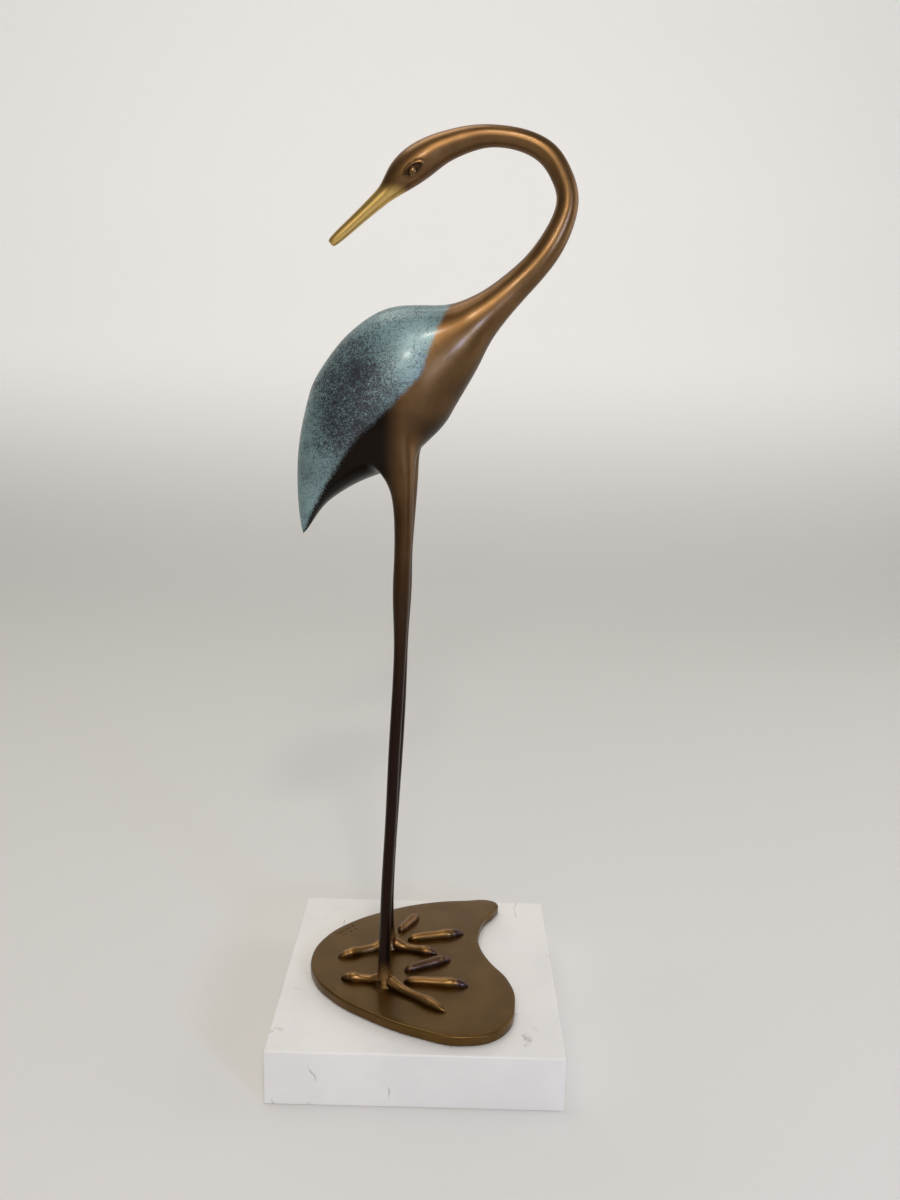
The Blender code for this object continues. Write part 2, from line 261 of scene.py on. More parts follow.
rows = curve_through(BIRD_SECTIONS, SECTIONS_BETWEEN)
breast_row, hip_row = SECTIONS_BETWEEN[:BREAST_TOP].sum(), SECTIONS_BETWEEN[:HIP].sum()
heading = np.gradient(rows[:, :2], axis=0)
heading /= np.linalg.norm(heading, axis=1)[:, None]
row_number = np.arange(len(rows))
gathered = np.clip((row_number - breast_row) / (hip_row - 1 - breast_row), 0, 1)[:, None]
towards_tail = np.clip((row_number - hip_row) / (len(rows) - 1 - hip_row), 0, 1)
# The points gather towards the belly, where the legs leave, and the tail is widest low down.
turn = np.arange(AROUND) * 2 * math.pi / AROUND
angle = turn - GATHERED * gathered * np.sin(turn)
egg = BODY_EGG * gathered + TAIL_EGG * towards_tail[:, None]
depth = rows[:, 2:3] * np.cos(angle)
ring = np.stack([
    rows[:, 0:1] - heading[:, 1:2] * depth,
    rows[:, 3:4] * np.sin(angle + egg * np.sin(angle)),
    rows[:, 1:2] + heading[:, 0:1] * depth,
], axis=-1)
ends = [np.tile((end[0], 0, end[1]), (1, AROUND, 1)) for end in (BILL_END, TAIL_END)]
skin_cage = cage_of(np.concatenate([ends[0], ring, ends[1]]), closed=False)
skin_cage = cage_of(skin_cage.transpose(1, 0, 2), closed=True).transpose(1, 0, 2)[1:-1]


def leg_cage(side):
    """Eight points round each section of a leg: the middle, and half * (cos, sin) of the turn round it,
    widened because eight points draw in when they are smoothed. side is 1 for the far leg."""
    up, near, far, half = LEG_SECTIONS.T[:, :, None]
    turn = np.radians(-45 + 45 * np.arange(8))
    half = half * 3 / (2 + math.cos(math.pi / 4))
    sideways = HIP_SIDEWAYS + (ANKLE_SIDEWAYS - HIP_SIDEWAYS) * (1 - up / up[0])
    slope = LEG_SLOPE_AT_TOP * np.clip(1 - np.arange(len(up)) / 2, 0, None)[:, None]
    x = (far if side > 0 else near) + half * np.cos(turn)
    return np.stack([x, side * (sideways + half * np.sin(turn)), up + slope * np.cos(turn)], axis=-1)


rows_in_all = len(skin_cage)
faces = grid_faces(rows_in_all, AROUND, closed=True).reshape(rows_in_all - 1, AROUND, 4)
closed_face = np.ones(faces.shape[:2], bool)
closed_face[hip_row - 1:hip_row + 1, [1, 2, AROUND - 3, AROUND - 2]] = False
points = [skin_cage.reshape(-1, 3), [(BILL_END[0], 0, BILL_END[1]), (TAIL_END[0], 0, TAIL_END[1])]]
faces = faces[closed_face].tolist()
tip = rows_in_all * AROUND
last_row = tip - AROUND
faces += [[(j + 1) % AROUND, j, tip] for j in range(AROUND)]
faces += [[last_row + j, last_row + (j + 1) % AROUND, tip + 1] for j in range(AROUND)]
for side in (1, -1):
    inner, middle, outer = (j * side % AROUND for j in (1, 2, 3))
    rim = [(hip_row - 1, inner), (hip_row - 1, middle), (hip_row - 1, outer), (hip_row, outer)]
    rim += [(hip_row + 1, outer), (hip_row + 1, middle), (hip_row + 1, inner), (hip_row, inner)]
    rim = np.array([row * AROUND + j for row, j in rim])
    leg = leg_cage(side)
    numbers = sum(map(len, points)) + np.arange(len(leg) * 8).reshape(-1, 8)
    numbers = np.concatenate([rim[None], numbers])
    around = np.roll(numbers, -1, axis=1)
    quads = np.stack([numbers[:-1], around[:-1], around[1:], numbers[1:]], axis=-1).reshape(-1, 4)
    faces += quads.tolist() + [numbers[-1].tolist()]
    points.append(leg.reshape(-1, 3))
bird = mesh_object("bird_skin", np.concatenate(points), faces)
face_outwards(bird)
edge_ends = np.empty(len(bird.data.edges) * 2, np.int32)
bird.data.edges.foreach_get("vertices", edge_ends)
edge_rows, edge_turns = np.divmod(edge_ends.reshape(-1, 2), AROUND)
on_wing_edge = (edge_rows.max(axis=1) < rows_in_all) & (edge_turns[:, 0] == edge_turns[:, 1])
on_wing_edge &= np.isin(edge_turns[:, 0], (3, AROUND - 3))
sharpness = WING_EDGE_SHARPNESS * towards_tail[np.minimum(edge_rows.max(axis=1), rows_in_all - 1)] ** 0.5
crease = bird.data.attributes.new("crease_edge", "FLOAT", "EDGE")
crease.data.foreach_set("value", np.where(on_wing_edge, sharpness, 0))
pointed = bird.data.attributes.new("crease_vert", "FLOAT", "POINT")
pointed.data[tip + 1].value = 1.0
smooth = bird.modifiers.new("smooth", "SUBSURF")
smooth.levels = smooth.render_levels = 3


def finished(made):
    """The object with its modifiers worked into its mesh."""
    graph = bpy.context.evaluated_depsgraph_get()
    mesh = bpy.data.meshes.new_from_object(made.evaluated_get(graph))
    made.modifiers.clear()
    made.data = mesh
    return made


def points_of(made):
    """The object's points as an array."""
    flat = np.empty(len(made.data.vertices) * 3, np.float32)
    made.data.vertices.foreach_get("co", flat)
    return flat.reshape(-1, 3).astype(float)


finished(bird)

# The eyes are almond openings with a raised lid all round and a ball inside, pressed into the wax on both
# sides of the head. A groove along each side of the bill parts its two halves.
EYE_MIDDLE = np.array([-13.5, 554])
EYE_SLANT = math.radians(35)
EYE_HALF_LENGTH, UPPER_LID, LOWER_LID = 6.3, 2.6, 2.3
EYE_ROW, EYE_TURN = 5.0, 3.0  # the middle of the eye in the bird's cage
SOCKET_DEPTH = 1.9
EYE_BALL = 4.6
BALL_BACK, BALL_SUNK = 0.7, 0.05  # how far the ball lies behind the middle of the almond, and in the head
GAPE, GROOVE_END = np.array([-25.5, 539.5]), np.array([-47.5, 521])
GROOVE_DEPTH, GROOVE_HALF_WIDTH = 0.35, 0.45


def ramp(value, start, end):
    """0 before start and 1 after end, with 3t^2 - 2t^3 between."""
    t = np.clip((value - start) / (end - start), 0, 1)
    return t * t * (3 - 2 * t)


def spline_weights(t):
    """The four weights of a cubic B-spline at a share t of the way from one control point to the next."""
    first, last = (1 - t) ** 3, t**3
    return np.stack([first, 3 * t**3 - 6 * t**2 + 4, 1 + 3 * t + 3 * t**2 - 3 * t**3, last], axis=-1) / 6


def skin_at(row, turn):
    """The bird's skin at a row and a turn of its cage, which need not be whole numbers: the sixteen
    points of the cage round it, each times the spline weight of its row and that of its turn."""
    i, j = np.floor(row).astype(int), np.floor(turn).astype(int)
    near = np.arange(-1, 3)
    points = skin_cage[(i[..., None] + near)[..., :, None], ((j[..., None] + near) % AROUND)[..., None, :]]
    return np.einsum("...a,...b,...abk->...k", spline_weights(row - i), spline_weights(turn - j), points)


def side_of_head(forward, up):
    """The row and turn of the far side of the head over places in the middle plane, by eight steps of
    Newton's way from the middle of the eye."""
    row, turn, small = np.full_like(forward, EYE_ROW), np.full_like(forward, EYE_TURN), 0.001
    for _ in range(8):
        here = skin_at(row, turn)
        by_row = (skin_at(row + small, turn) - here) / small
        by_turn = (skin_at(row, turn + small) - here) / small
        off_x, off_z = forward - here[..., 0], up - here[..., 2]
        spin = by_row[..., 0] * by_turn[..., 2] - by_row[..., 2] * by_turn[..., 0]
        row = row + np.clip((off_x * by_turn[..., 2] - off_z * by_turn[..., 0]) / spin, -0.5, 0.5)
        turn = turn + np.clip((off_z * by_row[..., 0] - off_x * by_row[..., 2]) / spin, -0.5, 0.5)
    return row, turn


# Way out from the almond, and height over the plain head: ball's floor, wall, lid, brow, and under the skin
EYE_RINGS = np.array([
    (-0.9, -1.15), (-0.6, -1.15), (-0.3, -1.12), (-0.12, -1.05), (-0.04, -0.7), (0.0, -0.25),
    (0.08, 0.12), (0.2, 0.22), (0.38, 0.27), (0.6, 0.25), (0.85, 0.19), (1.15, 0.11), (1.5, 0.03),
    (1.9, -0.08), (2.4, -0.30), (3.0, -0.70), (3.5, -1.20),
])
ROUND_THE_EYE = 96


def eye_surface(side):
    """Rings round the almond (l cos, h sin^2) of the turn, each pushed out along (cos, sin) by its way out,
    laid on the head's side and raised from it along y by the ring's height. The upper half stands higher."""
    turn = np.arange(ROUND_THE_EYE) * 2 * math.pi / ROUND_THE_EYE
    out, height = EYE_RINGS.T[:, :, None]
    lid = np.where(np.sin(turn) > 0, UPPER_LID, LOWER_LID)
    along = EYE_HALF_LENGTH * np.cos(turn) + out * np.cos(turn)
    across = lid * np.sin(turn) ** 2 * np.sign(np.sin(turn)) + out * np.sin(turn)
    height = height + 0.12 * np.exp(-((out - 0.9) / 0.7) ** 2) * np.clip(np.sin(turn), 0, 1)
    across_axis = np.array([-math.sin(EYE_SLANT), math.cos(EYE_SLANT)])
    along_axis = np.array([math.cos(EYE_SLANT), math.sin(EYE_SLANT)])
    place = EYE_MIDDLE + along[..., None] * along_axis + across[..., None] * across_axis
    front = skin_at(*side_of_head(place[..., 0], place[..., 1]))
    back = front[::-1] * (1, 0.35, 1)
    front[..., 1] += height
    rings = np.concatenate([front, back])
    return rings * (1, side, 1)


def ball_surface(middle, radius):
    """Rings of a ball: middle + radius * (sin a cos b, sin a sin b, cos a)."""
    a = np.linspace(0, math.pi, 26)[1:-1, None]
    b = np.arange(40) * 2 * math.pi / 40
    outward = np.stack([np.sin(a) * np.cos(b), np.sin(a) * np.sin(b), np.cos(a) + 0 * b], axis=-1)
    return middle + radius * outward


def places_by_eye(points):
    """How far each point lies along the almond and across it from the middle of the eye."""
    from_eye = points[:, [0, 2]] - EYE_MIDDLE
    along = from_eye @ (math.cos(EYE_SLANT), math.sin(EYE_SLANT))
    across = from_eye @ (-math.sin(EYE_SLANT), math.cos(EYE_SLANT))
    return along, across


skin = points_of(bird)
along, across = places_by_eye(skin)
from_eye = np.hypot(along / (EYE_HALF_LENGTH + 1.6), across / (UPPER_LID + 1.7))
on_head = (skin[:, 2] > 535) & (skin[:, 0] < 5) & (np.abs(skin[:, 1]) > 2.5)
pressed = np.where(on_head, SOCKET_DEPTH * ramp(from_eye, 1.0, 0.7), 0)
span = GROOVE_END - GAPE
share = np.clip(((skin[:, [0, 2]] - GAPE) @ span) / (span @ span), 0, 1)
from_groove = np.linalg.norm(skin[:, [0, 2]] - GAPE - share[:, None] * span, axis=1)
in_bill = (skin[:, 2] > 515) & (skin[:, 0] < -15)
groove = GROOVE_DEPTH * np.exp(-(from_groove / GROOVE_HALF_WIDTH) ** 2)
pressed += np.where(in_bill, groove * ramp(share, 1.0, 0.7), 0)
skin[:, 1] -= np.sign(skin[:, 1]) * pressed
to_frame = np.array([0, MIDDLE_PLANE, PLATE_TOP])
bird.data.vertices.foreach_set("co", ((skin + to_frame) / 1000).ravel())

wax_parts = bpy.data.collections.new("wax_parts")
bpy.context.scene.collection.children.link(wax_parts)


def closed_tube(name, rings):
    """A tube through the rings of points, closed at both ends by a fan to the middle of the end ring."""
    count, round_it = rings.shape[:2]
    number = np.arange(round_it)
    last = number + (count - 1) * round_it
    points = np.concatenate([rings.reshape(-1, 3), rings[:1].mean(axis=1), rings[-1:].mean(axis=1)])
    faces = grid_faces(count, round_it, closed=True).tolist()
    faces += np.stack([np.roll(number, -1), number, np.full(round_it, len(points) - 2)], axis=-1).tolist()
    faces += np.stack([last, np.roll(last, -1), np.full(round_it, len(points) - 1)], axis=-1).tolist()
    made = mesh_object(name, points / 1000, faces)
    face_outwards(made)
    return made


def join_later(part):
    """Puts a part with those that are joined to the bird in one go."""
    wax_parts.objects.link(part)
    bpy.context.scene.collection.objects.unlink(part)


eye_place = EYE_MIDDLE - BALL_BACK * np.array([math.cos(EYE_SLANT), math.sin(EYE_SLANT)])
ball_side = skin_at(*side_of_head(eye_place[:1], eye_place[1:]))[0, 1]
for name, side in (("far_eye", 1), ("near_eye", -1)):
    join_later(closed_tube(name, eye_surface(side) + to_frame))
    ball_middle = np.array([eye_place[0], side * (ball_side - EYE_BALL - BALL_SUNK), eye_place[1]])
    join_later(closed_tube(name + "ball", ball_surface(ball_middle, EYE_BALL) + to_frame))


# The plate is a leaf-shaped slab of the same casting, with a rounded rim. The feet lie on it as
# half-round ridges: some toes grow out of the ankle and others start as a lump of their own.
PLATE_THICKNESS = 7.5
RIM_ROUND = 1.3
LEAF = np.array([
    (-82, -2), (-77, -24), (-61, -46), (-36, -65), (-1, -83), (33, -91), (59, -80), (69, -48), (65, -24),
    (52, 0), (45, 22), (45, 37), (50, 58), (59, 73), (62, 83), (56, 89), (35, 88), (5, 83), (-27, 70),
    (-60, 47), (-76, 25),
], float)
POINTS_ROUND_LEAF = 360
SIDE_TO_LEAN = 2.5614  # a side of the leaf against how far its curve leans out from each end
# Start, tip, whether it grows from the ankle, and how dark its bronze has gone, claw and rest, from 0 to 1
TOES = {
    "near_hind": ((-26, -32), (-57, -28), True, 0.0, 0.0),
    "near_outer": ((-22, -35), (20, -65), True, 0.0, 0.0),
    "near_middle": ((-11, -31), (36, -34), False, 1.0, 0.0),
    "near_inner": ((-11, -18), (23, -1), False, 0.9, 0.7),
    "far_hind": ((-27, 14), (-62, -2), True, 0.0, 0.0),
    "far_inner": ((-21, 14), (13, 5), True, 0.7, 0.2),
    "far_middle": ((-11, 24), (33, 35), False, 1.0, 0.0),
    "far_outer": ((-18, 35), (-4, 60), False, 0.5, 0.4),
}
TOE_SHARES = np.array([0, 0.05, 0.12, 0.25, 0.40, 0.55, 0.68, 0.80, 0.86, 0.93, 1.0])
HALF_FROM_ANKLE = np.array([5.2, 4.6, 4.1, 3.6, 3.3, 3.4, 4.1, 3.7, 3.2, 2.4, 1.3])
HALF_ON_ITS_OWN = np.array([1.8, 2.9, 3.4, 3.6, 3.6, 3.8, 4.2, 3.7, 3.3, 2.6, 1.5])
EASED_OVER = np.linspace(-0.05, 0.05, 9)  # shares over which a half width is averaged
CLAW_FROM = 0.79


def leaf_outline(count):
    """Even steps round the leaf: (1-t)^3 a + 3t(1-t)^2 (a+p) + 3t^2(1-t) (b-q) + t^3 b from a point a to the
    next one b, where p and q lean along the mean heading there, by that side's length / SIDE_TO_LEAN."""
    after = np.roll(LEAF, -1, axis=0) - LEAF
    length = np.linalg.norm(after, axis=1)[:, None]
    heading = after / length
    heading = heading + np.roll(heading, 1, axis=0)
    heading /= np.linalg.norm(heading, axis=1)[:, None]
    lean = heading * length / SIDE_TO_LEAN
    lean_back = np.roll(heading, -1, axis=0) * length / SIDE_TO_LEAN
    t = (np.arange(60) / 60)[None, :, None]
    a, b = LEAF[:, None], np.roll(LEAF, -1, axis=0)[:, None]
    fine = (1 - t) ** 3 * a + 3 * t * (1 - t) ** 2 * (a + lean[:, None])
    fine = (fine + 3 * t * t * (1 - t) * (b - lean_back[:, None]) + t**3 * b).reshape(-1, 2)
    fine = np.concatenate([fine, fine[:1]])
    way = np.concatenate([[0], np.cumsum(np.linalg.norm(np.diff(fine, axis=0), axis=1))])
    even = np.linspace(0, way[-1], count, endpoint=False)
    return np.stack([np.interp(even, way, fine[:, 0]), np.interp(even, way, fine[:, 1])], axis=-1)


def toe_at(place, toe):
    """For a toe: the share of its length nearest to each place, how far that is from its middle line,
    and its half width there."""
    start, end, from_ankle = toe[:3]
    start, span = np.array(start, float), np.subtract(end, start)
    share = np.clip((place - start) @ span / (span @ span), 0, 1)
    away = np.linalg.norm(place - start - share[..., None] * span, axis=-1)
    halves = HALF_FROM_ANKLE if from_ankle else HALF_ON_ITS_OWN
    half = np.interp(share[..., None] + EASED_OVER, TOE_SHARES, halves).mean(axis=-1)
    return share, away, half


def toe_bar(toe):
    """Points of a toe: start + share * span along it, and half * (cos, 1.15 sin) of the turn across it, with
    half brought to nothing at both ends by sqrt(1 - |2 share - 1|^14). The middle of the bar lies a little
    over the plate and climbs into the ankle."""
    start, end, from_ankle = toe[:3]
    share = (1 - np.cos(np.linspace(0, math.pi, 60)[1:-1])) / 2
    along = np.array(start, float) + share[:, None] * np.subtract(end, start)
    _, _, half = toe_at(along, toe)
    half = half * (1 - 0.07 * np.exp(-((share - CLAW_FROM) / 0.02) ** 2))
    half = (half * np.sqrt(1 - np.abs(2 * share - 1) ** 14))[:, None]
    turn = np.arange(28) * 2 * math.pi / 28
    way = np.subtract(end, start) / np.linalg.norm(np.subtract(end, start))
    rise = 0.28 * half + (2.6 * ramp(share, 0.30, 0.0)[:, None] if from_ankle else 0)
    x = along[:, :1] - way[1] * half * np.cos(turn)
    y = along[:, 1:] + way[0] * half * np.cos(turn)
    return np.stack([x, y, PLATE_TOP + rise + 1.15 * half * np.sin(turn)], axis=-1)


leaf = leaf_outline(POINTS_ROUND_LEAF)
ahead = np.roll(leaf, -1, axis=0) - np.roll(leaf, 1, axis=0)
outward = np.stack([ahead[:, 1], -ahead[:, 0]], axis=-1) / np.linalg.norm(ahead, axis=1)[:, None]
reach = np.linspace(0.06, 1, 16)[:, None, None]
top = reach * (leaf - RIM_ROUND * outward)
arc = np.linspace(0, math.pi / 2, 6)[1:, None]
rim_out = leaf - RIM_ROUND * (1 - np.sin(arc))[..., None] * outward
rim_down = np.repeat(RIM_ROUND * (1 - np.cos(arc)), POINTS_ROUND_LEAF, axis=1)
slab = np.concatenate([
    np.dstack([top, np.zeros(top.shape[:2])]),
    np.dstack([rim_out, -rim_down]),
    np.dstack([rim_out[::-1], rim_down[::-1] - PLATE_THICKNESS]),
    np.dstack([top[::-5], np.full(top[::-5].shape[:2], -PLATE_THICKNESS)]),
])
plate = closed_tube("plate", slab + (0, 0, PLATE_TOP))

# Two rows of shallow strokes are scratched near the rim: each is a spindle half sunk in the plate's top.
STROKES_MIDDLE, STROKES_HEADING = np.array([-59.0, 36.5]), math.radians(48)
STROKE_DEPTH, STROKE_HALF_WIDTH = 0.45, 0.42
# Along the row, across it, slant in degrees, and half length
STROKES = np.array([
    (-9.0, 1.6, 72, 2.3), (-7.2, 1.2, 68, 1.6), (-4.9, 1.8, 75, 2.7), (-3.2, 1.1, 70, 1.5),
    (-0.4, 1.6, 66, 2.4), (1.6, 1.5, 74, 1.7), (3.9, 1.7, 70, 2.6), (6.4, 1.4, 67, 1.9),
    (8.2, 1.7, 73, 2.3), (-5.5, -3.0, 4, 2.8), (1.0, -3.3, 3, 2.2), (6.2, -3.1, 5, 1.6),
])
along, across, slant, half = STROKES.T
lean = STROKES_HEADING + np.radians(slant)
row_way = np.array([math.cos(STROKES_HEADING), math.sin(STROKES_HEADING)])
middle = STROKES_MIDDLE + along[:, None] * row_way + across[:, None] * (-row_way[1], row_way[0])
share = np.linspace(-1, 1, 9)[None, :, None]
turn = (np.arange(8) * math.pi / 4)[None, None]
fat = np.sqrt(np.clip(1.02 - share**2, 0, 1))
lengthwise = half[:, None, None] * share + 0 * turn
sideways = STROKE_HALF_WIDTH * fat * np.cos(turn) + 0 * lengthwise
way = np.stack([np.cos(lean), np.sin(lean)], axis=-1)[:, None, None]
side_way = np.stack([-np.sin(lean), np.cos(lean)], axis=-1)[:, None, None]
flat = middle[:, None, None] + lengthwise[..., None] * way + sideways[..., None] * side_way
deep = PLATE_TOP + STROKE_DEPTH * fat * np.sin(turn) + 0 * lengthwise
spindles = np.concatenate([flat, deep[..., None]], axis=-1).reshape(-1, 3)
number = np.arange(len(spindles)).reshape(len(STROKES), -1)
faces = (grid_faces(9, 8, closed=True)[None] + number[:, :1, None]).reshape(-1, 4).tolist()
faces += number[:, :8].tolist() + number[:, -8:].tolist()
strokes = mesh_object("strokes", spindles / 1000, faces)
face_outwards(strokes)
scratch = plate.modifiers.new("scratch", "BOOLEAN")
scratch.operation = "DIFFERENCE"
scratch.object = strokes
scratch.solver = "EXACT"
finished(plate)
bpy.data.objects.remove(strokes)
join_later(plate)
for name, toe in TOES.items():
    join_later(closed_tube(name, toe_bar(toe)))

join = bird.modifiers.new("join", "BOOLEAN")
join.operation = "UNION"
join.operand_type = "COLLECTION"
join.collection = wax_parts
join.solver = "EXACT"
finished(bird)
bird.name = bird.data.name = "heron_casting"
for part in list(wax_parts.objects):
    bpy.data.objects.remove(part)
bpy.data.collections.remove(wax_parts)
bird.data.shade_smooth()
bird.data.set_sharp_from_angle(angle=math.radians(40))
print("casting:", len(bird.data.vertices), "points,", len(bird.data.polygons), "faces")

# The finish is a hot patina waxed over: brown on the bird, olive on the plate, blue-green flecked with
# purple over the back, and bare gold where the bill is rubbed.
# Forward and up along the lower edge of the blue-green.
PATINA_EDGE = np.array([
    (-85, 323), (-77.5, 340), (-66.5, 360), (-53, 380), (-45.5, 390), (-34, 400), (-14.5, 420), (-5.5, 430),
    (-3, 440), (4.5, 460), (10, 471), (14, 480),
], float)


def over_edge(forward, up):
    """How far a place is above the line of points, or below it as a negative number."""
    a, b = PATINA_EDGE[:-1], PATINA_EDGE[1:]
    place = np.stack([forward, up], axis=-1)[:, None]
    share = np.clip(((place - a) * (b - a)).sum(axis=-1) / ((b - a) ** 2).sum(axis=-1), 0, 1)
    off = place - a - share[..., None] * (b - a)
    away = np.linalg.norm(off, axis=-1)
    nearest = away.argmin(axis=1)[:, None]
    side = np.sign((b - a)[:, 0] * off[..., 1] - (b - a)[:, 1] * off[..., 0])
    return (np.take_along_axis(away, nearest, 1) * np.take_along_axis(side, nearest, 1))[:, 0]


def add_values(made, name, values):
    """One number for each point of the mesh, for the material to read."""
    made.data.attributes.new(name, "FLOAT", "POINT").data.foreach_set("value", values.astype(np.float32))


cast = points_of(bird) * 1000 - to_frame
on_plate = cast[:, :2] + (0, MIDDLE_PLANE)
on_back = (cast[:, 2] > 300) & (cast[:, 2] < 495) & (cast[:, 0] < 40)
FAR_BELOW = -50
add_values(bird, "over_patina_edge", np.where(on_back, over_edge(cast[:, 0], cast[:, 2]), FAR_BELOW))
# Painted shade for the material: near black where the skin faces downwards, in the eye's opening but less on
# the middle of the ball, and under the tail, where it is partly a darker patina and partly painted shade.
normals = np.empty(len(cast) * 3, np.float32)
bird.data.vertex_normals.foreach_get("vector", normals)
downward = ramp(-normals.reshape(-1, 3)[:, 2], 0.0, 0.8)
under_tail = ramp(cast[:, 0], -14, -31) * ramp(cast[:, 2], 312, 322) * ramp(cast[:, 2], 490, 470)
downward = downward * ramp(cast[:, 2], 5, 30) * (1 - 0.75 * ramp(cast[:, 2], 430, 470))
along, across = places_by_eye(cast)
in_almond = ramp(np.hypot(along / EYE_HALF_LENGTH, across / UPPER_LID), 1.15, 0.95)
in_almond = in_almond * (np.abs(cast[:, 1]) > 3)
in_almond = in_almond * (0.7 - 0.5 * ramp(np.hypot(along + BALL_BACK, across), 3.0, 2.2))
add_values(bird, "painted_shade", np.maximum(np.maximum(downward, 0.97 * under_tail), in_almond))
claw, rubbed_and_highlit = np.zeros(len(cast)), np.zeros(len(cast))
for toe in TOES.values():
    share, away, half = toe_at(on_plate, toe)
    on_toe = ramp(away, half * 1.15, half * 1.02) * ramp(cast[:, 2], 20, 6) * ramp(cast[:, 2], 0.05, 0.3)
    dark = np.maximum(toe[3] * ramp(share, CLAW_FROM - 0.03, CLAW_FROM + 0.05), toe[4])
    claw = np.maximum(claw, on_toe * dark)
    # The toes' tops go gold: partly rubbed wear and partly a painted highlight.
    rubbed_and_highlit = np.maximum(rubbed_and_highlit, on_toe * ramp(cast[:, 2], 2.0, 4.5))
add_values(bird, "claw", claw)
add_values(bird, "rubbed_and_highlit", rubbed_and_highlit)

bronze, tree, shader = new_material("patinated_bronze")
place = node(tree, "TexCoord").outputs["Object"]
height = node(tree, "SeparateXYZ", {0: place}).outputs["Z"]
forward = node(tree, "SeparateXYZ", {0: place}).outputs["X"]


def value_of(name):
    """The number that a point of the mesh carries under that name."""
    return node(tree, "Attribute", attribute_name=name).outputs["Fac"]


mottle = spread(tree, noise(tree, place, 38.0, 5.0, 0.6), 0.35, 0.65)
brown = blend(tree, mottle, (0.145, 0.074, 0.026, 1), (0.195, 0.104, 0.039, 1))
# Painted shade: the brown goes near black towards the bottom, over the lower legs.
painted_low_shade = spread(tree, height, 0.24, 0.52, 1.0, 0.0)
brown = blend(tree, painted_low_shade, brown, (0.016, 0.005, 0.002, 1))
olive = blend(tree, mottle, (0.110, 0.058, 0.013, 1), (0.136, 0.073, 0.017, 1))
on_slab = spread(tree, height, (PLATE_TOP + 0.5) / 1000, (PLATE_TOP + 6) / 1000, 1.0, 0.0)
metal = blend(tree, on_slab, brown, olive)
# Gold on the toes' tops: partly rubbed wear, partly a painted highlight.
metal = blend(tree, value_of("rubbed_and_highlit"), metal, (0.27, 0.145, 0.048, 1))
metal = blend(tree, reckon(tree, "MULTIPLY", value_of("claw"), 0.85), metal, (0.060, 0.035, 0.038, 1))
# Painted shade: near black on the underside, in the eyes' openings and under the tail.
metal = blend(tree, value_of("painted_shade"), metal, (0.004, 0.002, 0.001, 1))
BILL_EDGE = 0.5405 + PLATE_TOP / 1000
bill = reckon(tree, "ADD", reckon(tree, "MULTIPLY", forward, 0.11), height)
bill = spread(tree, bill, BILL_EDGE - 0.004, BILL_EDGE + 0.004, 1.0, 0.0)
bill = reckon(tree, "MULTIPLY", bill, spread(tree, height, 0.545, 0.550))
bill = reckon(tree, "MULTIPLY", bill, spread(tree, forward, -0.016, -0.020))
metal = blend(tree, bill, metal, (0.60, 0.40, 0.125, 1))
over = value_of("over_patina_edge")
speckle = noise(tree, place, 1000.0, 4.0, 0.75)
patch = noise(tree, place, 420.0, 3.0, 0.65)
grainy = reckon(tree, "ADD", reckon(tree, "MULTIPLY", speckle, 0.75), reckon(tree, "MULTIPLY", patch, 0.25))
ragged = reckon(tree, "MULTIPLY", reckon(tree, "SUBTRACT", speckle, 0.5), 14.0)
patina = spread(tree, reckon(tree, "ADD", over, ragged), -1.4, 1.6)
# The flecks lie thickest in the middle of the back, on both sides.
MIDST = (-0.050, MIDDLE_PLANE / 1000, (PLATE_TOP + 412) / 1000)
from_midst = node(tree, "VectorMath", {0: place, 1: MIDST}, operation="SUBTRACT").outputs[0]
from_midst = node(tree, "VectorMath", {0: from_midst, 1: (1, 0, 0.7)}, operation="MULTIPLY").outputs[0]
from_midst = node(tree, "VectorMath", {0: from_midst}, operation="LENGTH").outputs["Value"]
thick = spread(tree, from_midst, 0.006, 0.045, 0.15, 0.0)
uneven = reckon(tree, "MULTIPLY", reckon(tree, "SUBTRACT", noise(tree, place, 75.0, 4.0, 0.6), 0.5), 0.22)
fleck = spread(tree, reckon(tree, "ADD", reckon(tree, "ADD", grainy, thick), uneven), 0.46, 0.67)
verdigris = blend(tree, mottle, (0.160, 0.255, 0.264, 1), (0.235, 0.360, 0.375, 1))
verdigris = blend(tree, fleck, verdigris, (0.024, 0.026, 0.036, 1))
tree.links.new(blend(tree, patina, metal, verdigris), shader.inputs["Base Color"])
metallic = reckon(tree, "SUBTRACT", 1.0, reckon(tree, "MULTIPLY", patina, 0.75))
tree.links.new(metallic, shader.inputs["Metallic"])
gloss = spread(tree, noise(tree, place, 55.0, 4.0), 0.3, 0.7, 0.34, 0.41)
gloss = reckon(tree, "SUBTRACT", gloss, reckon(tree, "MULTIPLY", bill, 0.06))
tree.links.new(gloss, shader.inputs["Roughness"])
fine_grain = reckon(tree, "MULTIPLY", noise(tree, place, 700.0, 3.0), 0.05)
hammered = reckon(tree, "ADD", noise(tree, place, 60.0, 2.0), fine_grain)
skin_bump = node(tree, "Bump", {"Height": hammered, "Strength": 0.2, "Distance": 0.0005})
tree.links.new(skin_bump.outputs["Normal"], shader.inputs["Normal"])
shader.inputs["Coat Weight"].default_value = 0.2
shader.inputs["Coat Roughness"].default_value = 0.15

bird.data.materials.clear()
bird.data.materials.append(bronze)
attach(bird, "root")
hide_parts("heron")


